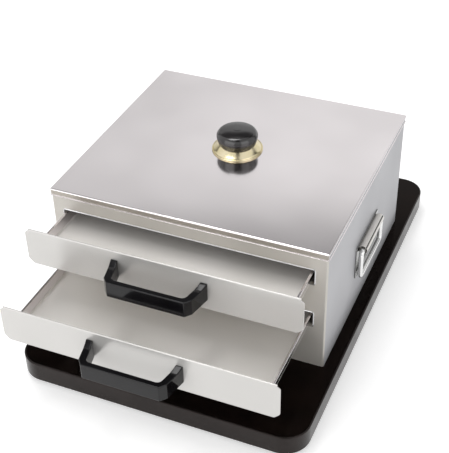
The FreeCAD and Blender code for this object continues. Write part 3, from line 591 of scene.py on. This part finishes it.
def makeSleeve(name, middle, sign):
    # sheet rolled round the bail's rod: its edge leaves a seam along the outside, and its ends stand open
    s = bailSizes
    ends, sleeve, mouth, bore = s["sleeveHalf"], s["sleeve"], s["mouth"], s["bore"]
    deep, edge = s["sleeveHalf"] - s["mouthDepth"], s["endRound"]
    half = math.degrees(s["seamWidth"] / sleeve) / 2
    first, last = s["seamAt"] - half, s["seamAt"] + half
    # (angle, whether it lies in the seam) round the sleeve
    turns = [(last + (360 - 2 * half) * k / s["steps"], 0) for k in range(1, s["steps"])]
    turns += [(first, 0), (first, 1), (last, 1), (last, 0)]
    # (radius, place along the sleeve, whether the seam cuts in) down the outside and back through the bore
    profile = [(sleeve - edge, -ends, 1), (sleeve, -ends + edge, 1), (sleeve, ends - edge, 1),
               (sleeve - edge, ends, 1), (mouth, ends, 0), (mouth, deep, 0), (bore, deep, 0),
               (bore, -deep, 0), (mouth, -deep, 0), (mouth, -ends, 0)]
    loops = []
    for radius, along, outside in profile:
        loop = []
        for turn, sunk in turns:
            r = radius - s["seamDepth"] * sunk * outside
            a = math.radians(turn)
            loop.append((middle[0] + sign * r * math.cos(a), middle[1] + along, middle[2] + r * math.sin(a)))
        loops.append(loop)
    bm = bmesh.new()
    loft(bm, loops, closed=True)
    return toPiece(name, bm)


def makeBails():
    s = bailSizes
    tree = bailTree()
    for side, sign in (("left", -1), ("right", 1)):
        low, high, middle = nodeBox(f"{side}_handle_plate")
        wall = high.x if sign < 0 else low.x                  # the box's wall
        bailLow, bailHigh, bailMiddle = nodeBox(f"{side}_bail")
        axis = bailHigh.z - s["rod"]
        bm = bmesh.new()
        plate = rectangle(low.y, high.y, low.z, high.z, s["corner"])
        prism(bm, plate, wall, wall + sign * s["wall"], upSide)
        piece = soften(toPiece(f"{side}_bail_plate", bm), s["edge"], 2)
        # the backing plate takes the darkened polished steel: painted shade and reflection
        dress(piece, finishes["plateBright"], "box", "bright_steel", f"{side}_handle_plate")
        piece = soften(makeSleeve(f"{side}_bail_sleeve", (bailMiddle.x, middle.y, axis), sign))
        dress(piece, finishes["traySteel"], "box", "bright_steel")
        # painted shade: the seam is open, and the faces at its bottom take the dark rubber finish for the
        # shadow in it
        piece.data.materials.append(finishes["rubber"])
        for face in piece.data.polygons:
            out = math.hypot(face.center.x * 1000 - bailMiddle.x, face.center.z * 1000 - axis)
            if abs(out - s["sleeve"] + s["seamDepth"]) < s["endRound"] / 2:
                face.material_index = 1
        bail = emptyPiece(f"{side}_bail_rod")
        size = bailHigh - bailLow
        lengths = {"Length": size.y - 2 * s["rod"], "Height": size.z - 2 * s["rod"], "Bend": s["rodBend"],
                   "Rod": s["rod"]}
        runTree(bail, tree, {"Material": finishes["brightSteel"],
                             **{name: length / 1000 for name, length in lengths.items()}})
        bail.data.transform(Matrix.Translation(bailMiddle / 1000))
        dress(bail, finishes["brightSteel"], f"{side}_bail", "bright_steel", f"{side}_bail")


print("bail handles")
makeBails()


# the drawers, one above the other. "rim" is the tray's rolled rim, as (inset, distance below the top)
traySizes = {"wall": 1.0, "corner": 5.0, "floorBend": 3.5, "rimReach": 2.0,
             "rim": ((2.0, 2.4), (0.7, 2.4), (0.2, 1.9), (0.0, 1.2), (0.2, 0.6), (0.8, 0.1), (1.5, 0.0),
                     (2.4, 0.1), (3.0, 0.8))}
plateSizes = {"thickness": 1.2, "edge": 0.35, "bottomClip": 6.5, "bottomRound": 4, "topClip": 4.5,
              "topRound": 2, "hem": 7.0, "hemRound": 1.15, "hemEnd": 0.5, "hemFoot": 0.3}
# "roots" are the legs' thicker ends as (distance from the plate, rise)
handleSizes = {"width": 115.0, "elbowWidth": 103.0, "barWidth": 91.0, "depth": 35.0, "elbowDepth": 7.0,
               "leg": 8.5, "bar": 7.0, "inner": 6.0, "outer": 2.0, "edge": 1.1,
               "rootDepth": 4.0, "rootInset": 0.03, "roots": ((0.0, 3.0), (5.5, 1.1), (11.0, 0.0))}


def makeTray(tier):
    # shallow pan whose rim is rolled outwards on three sides; its front wall lies against the front plate
    s = traySizes
    low, high, _ = nodeBox(f"{tier}_tray")
    wall, reach, bend = s["wall"], s["rimReach"], s["floorBend"]
    profile = [(reach + bend, low.z)] + arc((reach + bend, low.z + bend), bend, 270, 180)
    profile += [(inset, high.z - drop) for inset, drop in s["rim"]]
    profile += arc((reach + bend, low.z + bend), bend - wall, 180, 270)
    loops = []
    for inset, z in profile:
        outline = rectangle(low.x + inset, high.x - inset, low.y + max(inset - reach, 0), high.y - inset,
                            s["corner"] + reach - inset)
        loops.append([(x, y, z) for x, y in outline])
    bm = bmesh.new()
    loft(bm, loops)
    piece = soften(toPiece(f"{tier}_tray_pan", bm), angle=40)
    dress(piece, finishes["traySteel"], f"{tier}_drawer", "stainless_tray", f"{tier}_tray")
    # the floor is matt; walls and rim shine like the lid
    piece.data.materials.append(finishes["lidSteel"])
    for face in piece.data.polygons:
        if face.center.z * 1000 > low.z + bend:
            face.material_index = 1


def makePlate(tier):
    # front plate with clipped lower corners and a top edge folded back on itself
    s = plateSizes
    low, high, _ = nodeBox(f"{tier}_front_plate")
    rear = low.y + s["thickness"]
    clip, top, drop = s["bottomClip"], s["topClip"], s["hemRound"]
    wide, tight = s["bottomRound"], s["topRound"]
    bm = bmesh.new()
    prism(bm, roundCorners([
        (low.x + clip, low.z, wide), (high.x - clip, low.z, wide), (high.x, low.z + clip, wide),
        (high.x, high.z - top, tight), (high.x - top, high.z - drop, 1), (low.x + top, high.z - drop, 1),
        (low.x, high.z - top, tight), (low.x, low.z + clip, wide)]), low.y, rear, upFront)
    sheet = toPiece(f"{tier}_plate", bm)
    fold = [(low.y, high.z - s["hem"], 0), (high.y, high.z - s["hem"], s["hemFoot"]),
            (high.y, high.z, s["hemRound"]), (low.y, high.z, s["hemRound"])]
    bm = bmesh.new()
    prism(bm, roundCorners(fold), low.x + top - s["hemEnd"], high.x - top + s["hemEnd"], upSide)
    piece = soften(combine(sheet, toPiece("hem_shape", bm)), s["edge"], 2, 40)
    dress(piece, finishes["plateSteel"], f"{tier}_drawer", "stainless_plate", f"{tier}_front_plate")


def makeHandle(tier):
    # moulded bar on two legs that lean inwards
    s = handleSizes
    plate = nodeBox(f"{tier}_front_plate")[0].y
    low, high, middle = nodeBox(f"{tier}_handle")
    top = high.z - s["roots"][0][1]
    outer = [(s["width"] / 2, 0, 0), (s["elbowWidth"] / 2, -s["depth"] + s["elbowDepth"], s["outer"]),
             (s["barWidth"] / 2, -s["depth"], s["outer"])]
    inner = [(s["elbowWidth"] / 2 - s["leg"], -s["depth"] + s["bar"], s["inner"]),
             (s["width"] / 2 - s["leg"], 0, 0)]
    half = outer + [(-x, y, r) for x, y, r in reversed(outer)]
    outline = half + [(-x, y, r) for x, y, r in reversed(inner)] + inner
    points = [(middle.x + x, plate + y) for x, y in roundCorners(outline, 7)]
    bm = bmesh.new()
    prism(bm, points, low.z, top)
    # the legs thicken upwards in two facets at their roots, where they are screwed to the plate
    lean = (s["width"] - s["elbowWidth"]) / 2 / (s["depth"] - s["elbowDepth"])
    foot = top - s["rootDepth"]
    for side in (-1, 1):
        loops = []
        for reach, rise in s["roots"]:
            outside = middle.x + side * (s["width"] / 2 - lean * reach - s["rootInset"])
            inside = middle.x + side * (s["width"] / 2 - lean * reach - s["leg"] + s["rootInset"])
            y = plate - reach
            loops.append([(outside, y, foot), (outside, y, top + rise), (inside, y, top + rise),
                          (inside, y, foot)])
        loft(bm, loops)
    piece = soften(toPiece(f"{tier}_grip", bm), s["edge"], 3, 40)
    dress(piece, finishes["phenolic"], f"{tier}_drawer", "black_phenolic", f"{tier}_handle")


print("drawers")
for tier in ("upper", "lower"):
    makeTray(tier)
    makePlate(tier)
    makeHandle(tier)


# the heating base: a moulded band and the glass that lies in it
baseSizes = {"corner": 30.0, "cornerSteps": 12, "wall": 2.0, "edge": 1.4, "innerEdge": 0.2,
             "foot": ((1.2, 0.0), (0.3, 0.4), (0.0, 1.2)), "ledge": 8.0, "ledgeThickness": 2.0,
             "glass": 4.0, "glassGap": 0.3, "glassEdge": 0.4}


def roundLoops(low, high, corner, profile):
    # a profile of (inset, height) taken round a rectangle with round corners
    return [[(x, y, z) for x, y in rectangle(low.x + inset, high.x - inset, low.y + inset, high.y - inset,
                                             corner - inset, baseSizes["cornerSteps"])]
            for inset, z in profile]


def makeBase():
    # "foot" is the rounding of the band's lower edge, as (inset, height); the glass lies on the ledge inside
    s = baseSizes
    low, high, _ = nodeBox("base_shell")
    edge, wall, ledge = s["edge"], s["wall"], s["wall"] + s["ledge"]
    glassFloor = high.z - s["glass"]
    underLedge = glassFloor - s["ledgeThickness"]
    profile = [(inset, low.z + z) for inset, z in s["foot"]] + arc((edge, high.z - edge), edge, 180, 90)
    profile += [(wall, high.z - s["innerEdge"]), (wall, glassFloor), (ledge, glassFloor), (ledge, underLedge),
                (wall, underLedge), (wall, low.z)]
    bm = bmesh.new()
    loft(bm, roundLoops(low, high, s["corner"], profile), closed=True)
    piece = soften(toPiece("base_band", bm), angle=40)
    dress(piece, finishes["basePlastic"], "base", "base_plastic", "base_shell")
    inset, edge = wall + s["glassGap"], s["glassEdge"]
    profile = [(inset + edge, glassFloor), (inset, glassFloor + edge)]
    profile += [(inset, high.z - edge), (inset + edge * 0.3, high.z - edge * 0.3), (inset + edge, high.z)]
    bm = bmesh.new()
    loft(bm, roundLoops(low, high, s["corner"], profile))
    piece = soften(toPiece("base_glass", bm), angle=40)
    dress(piece, finishes["glass"], "base", "black_glass", "base_top_glass")


print("heating base")
makeBase()


# feet and screws are copies of one shape on points. "slotReach" is a share of the head's radius, and "rim"
# of its height
screwSizes = {"slot": 0.8, "slotDepth": 0.9, "slotReach": 0.55, "rim": 0.35, "steps": 32}
footSizes = {"across": 135, "along": 221, "steps": 48,
             "profile": ((0.02, 0), (9, 0), (9.7, 0.3), (10, 1), (12, 6.6), (12, 7), (0.02, 7))}
coverScrews = {"radius": 3.0, "height": 1.6, "shank": (1.2, 8), "corners": (170.0, 173.0),
               "ends": (75.0, 256.0)}
handleScrews = {"radius": 3.5, "height": 2.2, "shank": (1.55, 10), "spread": 52.0}


def repeatTree():
    # one copy of a piece on each point, each turned about its axis by chance
    tree, given = nodeTree("copiesOnPoints", [("Piece", "Object", None), ("Turn", "Float", 0.0),
                                              ("Seed", "Int", 1), ("Material", "Material", None)])
    source = addNode(tree, "GeometryNodeObjectInfo", {"Object": given["Piece"]}, "Geometry",
                     transform_space="ORIGINAL")
    # the random number's lowest and highest value are sockets 2 and 3, and the number is output 1
    turn = addNode(tree, "FunctionNodeRandomValue", {2: 0.0, 3: given["Turn"], "Seed": given["Seed"]}, 1,
                   data_type="FLOAT")
    about = addNode(tree, "ShaderNodeCombineXYZ", {"Z": turn}, "Vector")
    points = addNode(tree, "GeometryNodeMeshToPoints", {"Mesh": given["Geometry"]}, "Points")
    copies = addNode(tree, "GeometryNodeInstanceOnPoints",
                     {"Points": points, "Instance": source, "Rotation": about}, "Instances")
    return finishTree(tree, copies, given["Material"])


def makeCopies(name, source, points, turn, seed, material, frameTurn=Matrix.Identity(4)):
    # the points are where the copies stand; frameTurn lays the whole group over, about the frame's origin
    piece = emptyPiece(name, [frameTurn.inverted() @ (Vector(point) / 1000) for point in points])
    runTree(piece, copiesTree, {"Piece": source, "Turn": turn, "Seed": seed, "Material": material})
    piece.data.transform(frameTurn)
    bpy.data.objects.remove(source)
    return piece


def screwHead(name, sizes):
    # domed head with a cross recess, its underside at the origin, on a plain shank
    s = screwSizes
    radius, height, (shank, length) = sizes["radius"], sizes["height"], sizes["shank"]
    reach, half, rim = radius * s["slotReach"], s["slot"] / 2, height * s["rim"]
    dome = [(radius * math.cos(a), rim + (height - rim) * math.sin(a)) for a in
            (math.radians(15 * k) for k in range(6))]
    bm = bmesh.new()
    lathe(bm, [(shank, -length), (shank, 0), (radius, 0)] + dome + [(0.02, height)], (0, 0), steps=s["steps"])
    piece = toPiece(name, bm)
    cross = [(half, half), (half, reach), (-half, reach), (-half, half), (-reach, half), (-reach, -half),
             (-half, -half), (-half, -reach), (half, -reach), (half, -half), (reach, -half), (reach, half)]
    bm = bmesh.new()
    prism(bm, cross, height - s["slotDepth"], height + 1)
    return soften(combine(piece, toPiece(name + "_recess", bm), "DIFFERENCE"), angle=40)


def footShape():
    bm = bmesh.new()
    lathe(bm, footSizes["profile"], (0, 0), steps=footSizes["steps"])
    return soften(toPiece("foot_shape", bm), angle=40)


def mirrored(x, y, z):
    # the four places that lie alike about the middle
    return [(i * x, j * y, z) for i in (-1, 1) for j in (-1, 1)]


print("feet and screws")
copiesTree = repeatTree()
feet = makeCopies("feet", footShape(), mirrored(footSizes["across"], footSizes["along"], 0), 0.0, 3,
                  finishes["rubber"])
dress(feet, finishes["rubber"], "base", "rubber", "base_feet")

coverFloor = nodeBox("base_bottom_cover")[0].z
places = mirrored(*coverScrews["corners"], coverFloor) + mirrored(*coverScrews["ends"], coverFloor)
screws = makeCopies("cover_screws", screwHead("cover_screw_shape", coverScrews), places, 2 * math.pi, 5,
                    finishes["screwSteel"], Matrix.Rotation(math.pi, 4, "X"))
dress(screws, finishes["screwSteel"], "base", "screw_steel", "base_screws")

for seed, tier in ((7, "upper"), (8, "lower")):
    low, high, middle = nodeBox(f"{tier}_handle_screws")
    face = high.y - handleScrews["height"]
    places = [(middle.x + side * handleScrews["spread"], face, middle.z) for side in (-1, 1)]
    screws = makeCopies(f"{tier}_grip_screws", screwHead(f"{tier}_screw_shape", handleScrews), places,
                        2 * math.pi, seed, finishes["screwSteel"], Matrix.Rotation(-math.pi / 2, 4, "X"))
    dress(screws, finishes["screwSteel"], f"{tier}_drawer", "screw_steel", f"{tier}_handle_screws")


# pieces that keep the shape of their solid
print("kept solids")
keptFinishes = {
    "base_bottom_cover": "paint", "heater_dish": "dishMetal", "heater_insulation": "wool",
    "heater_element": "elementSteel", "heater_thermostat": "inletPlastic", "mains_inlet": "inletPlastic",
    "inlet_pins": "pinBrass", "water_pan": "innerSteel", "upper_left_runner": "innerSteel",
    "upper_right_runner": "innerSteel", "lower_left_runner": "innerSteel", "lower_right_runner": "innerSteel",
    "knob_washer": "screwSteel", "knob_screw": "screwSteel",
}
for name, finish in keptFinishes.items():
    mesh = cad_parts[name].data
    places = len(mesh.materials)
    for place in range(places):
        mesh.materials[place] = finishes[finish]
    if not places:
        mesh.materials.append(finishes[finish])


# the glow goes from "near" to "far" over a reach from the middle; reach and size are in metres
floorLook = {"colour": "#F2F2F2", "near": 0.42, "far": 0.55, "reach": (0.4, 1.6), "size": 14.0}


def makeFloor():
    # white paint that glows for the camera and in mirrors, a little more further out, where the lamps
    # reach less
    material = bpy.data.materials.new("studioFloorPaint")
    material.use_nodes = True
    tree = material.node_tree
    tree.nodes.clear()
    paint = addNode(tree, "ShaderNodeBsdfDiffuse", {"Color": linear(floorLook["colour"])}, 0)
    place = addNode(tree, "ShaderNodeTexCoord", out="Object")
    away = addNode(tree, "ShaderNodeVectorMath", {0: place}, "Value", operation="LENGTH")
    near, far = floorLook["reach"]
    reach = addNode(tree, "ShaderNodeMapRange", {"Value": away, "From Min": near, "From Max": far,
                                                 "To Min": floorLook["near"], "To Max": floorLook["far"]},
                    "Result")
    # 1 for rays from the camera and for mirrored ones, 0 for the light that falls on things
    path = addNode(tree, "ShaderNodeLightPath").outputs
    seen = path["Is Camera Ray"]
    for ray in ("Is Glossy Ray", "Is Transmission Ray"):
        seen = addNode(tree, "ShaderNodeMath", {0: seen, 1: path[ray]}, 0, operation="MAXIMUM")
    lift = addNode(tree, "ShaderNodeMath", {0: seen, 1: reach}, 0, operation="MULTIPLY")
    glow = addNode(tree, "ShaderNodeEmission", {"Strength": lift}, 0)
    both = addNode(tree, "ShaderNodeAddShader", {0: paint, 1: glow}, 0)
    addNode(tree, "ShaderNodeOutputMaterial", {"Surface": both})
    half = floorLook["size"] / 2
    mesh = bpy.data.meshes.new("studio_floor")
    mesh.from_pydata([(-half, -half, 0), (half, -half, 0), (half, half, 0), (-half, half, 0)], [],
                     [(0, 1, 2, 3)])
    mesh.materials.append(material)
    newObject("studio_floor", mesh)


# what smooth metal mirrors, by bearing in degrees (0 straight back, 90 to the right, 180 to the front) and
# height. "back" is the wall and ceiling behind the object, from the horizon (0) to overhead (1), a little
# darker to the left. "front" is the rest of the room: white, with dark gaps between its sheets, the first
# of them lit at some heights, and with a soft box. "soft" is how many degrees each edge takes to fade, and
# "fill" the light that falls on matt things.
worldLook = {"fill": 0.70, "back": ((0.0, 0.95), (0.48, 0.88), (0.545, 1.0), (0.576, 0.98), (0.594, 0.60),
                                    (0.612, 0.36), (0.65, 0.12), (0.70, 0.06), (0.78, 0.06), (0.84, 0.45),
                                    (0.90, 1.0), (1.0, 1.0)),
             "backArc": (-56, 28), "leftArc": (-20, -36), "leftLevel": 0.76, "front": 0.92,
             "gaps": (((138, 172), (10, 44)), ((-72, -58), None), ((32, 47), None)), "gapLevel": 0.08,
             "box": ((96, 134), (6, 38), 1.0), "soft": {"gap": 4, "lit": 6, "box": 4, "back": 20}}


def between(tree, value, low, high, edge):
    # 1 between two angles in degrees and 0 beyond them, with soft edges; the value is in radians
    sides = []
    for start, end in ((low - edge, low), (high + edge, high)):
        reach = {"Value": value, "From Min": math.radians(start), "From Max": math.radians(end)}
        sides.append(addNode(tree, "ShaderNodeMapRange", reach, "Result", interpolation_type="SMOOTHSTEP"))
    return addNode(tree, "ShaderNodeMath", dict(enumerate(sides)), 0, operation="MULTIPLY")


def makeWorld():
    look, soft = worldLook, worldLook["soft"]
    world = bpy.data.worlds.new("studio")
    scene.world = world
    world.use_nodes = True
    tree = world.node_tree
    tree.nodes.clear()
    along = addNode(tree, "ShaderNodeTexCoord", out="Generated")
    x, y, z = addNode(tree, "ShaderNodeSeparateXYZ", {"Vector": along}).outputs
    bearing = addNode(tree, "ShaderNodeMath", {0: x, 1: y}, 0, operation="ARCTAN2")
    height = addNode(tree, "ShaderNodeMath", {0: z}, 0, operation="ARCSINE")
    ramp = addNode(tree, "ShaderNodeValToRGB", {"Fac": z})
    ramp.color_ramp.interpolation = "EASE"
    for place, grey in look["back"]:
        elements = ramp.color_ramp.elements
        element = elements[-int(place)] if place in (0, 1) else elements.new(place)
        element.color = (grey, grey, grey, 1)
    start, end = (math.radians(turn) for turn in look["leftArc"])
    left = addNode(tree, "ShaderNodeMapRange", {"Value": bearing, "From Min": start, "From Max": end,
                                                "To Min": 1.0, "To Max": look["leftLevel"]}, "Result")
    back = addNode(tree, "ShaderNodeMath", {0: ramp.outputs["Color"], 1: left}, 0, operation="MULTIPLY")
    front = look["front"]
    for bearings, lit in look["gaps"]:
        gap = between(tree, bearing, *bearings, soft["gap"])
        if lit:
            shut = addNode(tree, "ShaderNodeMath", {0: 1.0, 1: between(tree, height, *lit, soft["lit"])}, 0,
                           operation="SUBTRACT")
            gap = addNode(tree, "ShaderNodeMath", {0: gap, 1: shut}, 0, operation="MULTIPLY")
        front = addNode(tree, "ShaderNodeMath", {0: gap, 1: look["gapLevel"] - look["front"], 2: front}, 0,
                        operation="MULTIPLY_ADD")
    bearings, heights, strength = look["box"]
    box = addNode(tree, "ShaderNodeMath", {0: between(tree, bearing, *bearings, soft["box"]),
                                           1: between(tree, height, *heights, soft["box"])}, 0,
                  operation="MULTIPLY")
    front = addNode(tree, "ShaderNodeMath", {0: box, 1: strength, 2: front}, 0, operation="MULTIPLY_ADD")
    atBack = between(tree, bearing, *look["backArc"], soft["back"])
    room = addNode(tree, "ShaderNodeMix", {"Factor": atBack, "A": front, "B": back}, "Result")
    # mirrors show the room, matt things take the plain fill, and the camera sees white
    path = addNode(tree, "ShaderNodeLightPath").outputs
    glossy = addNode(tree, "ShaderNodeMix", {"Factor": path["Is Glossy Ray"], "A": look["fill"], "B": room},
                     "Result")
    seen = addNode(tree, "ShaderNodeMix", {"Factor": path["Is Camera Ray"], "A": glossy, "B": 1.0}, "Result")
    shade = addNode(tree, "ShaderNodeBackground", {"Color": (1, 1, 1, 1), "Strength": seen}, 0)
    addNode(tree, "ShaderNodeOutputWorld", {"Surface": shade})


# places and sizes in metres, power in watts
lamps = {"overhead": {"place": (-0.35, 0.1, 1.7), "target": (0, 0, 0.1), "size": (1.0, 0.5), "power": 7.5},
         "front": {"place": (-0.7, -1.8, 0.8), "target": (0, -0.1, 0.1), "size": (1.9, 1.3), "power": 9.5}}


def makeLamp(name, look):
    lamp = bpy.data.lights.new(name, "AREA")
    lamp.shape = "RECTANGLE"
    lamp.size, lamp.size_y = look["size"]
    lamp.energy = look["power"]
    item = newObject(name, lamp)
    item.location = look["place"]
    aim = Vector(look["target"]) - Vector(look["place"])
    item.rotation_euler = aim.to_track_quat("-Z", "Y").to_euler()


# place and target in millimetres, roll in degrees; the focal length and the frame's width are in pixels
cameraSizes = {"place": (405.9, -974.0, 875.6), "target": (-25.8, 9.0, 75.6), "roll": -1.31, "focal": 1042.6,
               "frame": 449}


def makeCamera():
    camera = bpy.data.cameras.new("camera")
    camera.sensor_fit = "HORIZONTAL"
    camera.lens = cameraSizes["focal"] / cameraSizes["frame"] * camera.sensor_width
    camera.clip_start, camera.clip_end = 0.05, 30
    place, target = Vector(cameraSizes["place"]) / 1000, Vector(cameraSizes["target"]) / 1000
    aim = (target - place).to_track_quat("-Z", "Y").to_matrix()
    roll = Matrix.Rotation(math.radians(cameraSizes["roll"]), 3, "Z")
    scene.camera = newObject("camera", camera)
    scene.camera.matrix_world = Matrix.Translation(place) @ (aim @ roll).to_4x4()


print("studio")
makeFloor()
makeWorld()
for name, look in lamps.items():
    makeLamp(name, look)
makeCamera()
scene.view_settings.view_transform = "Standard"
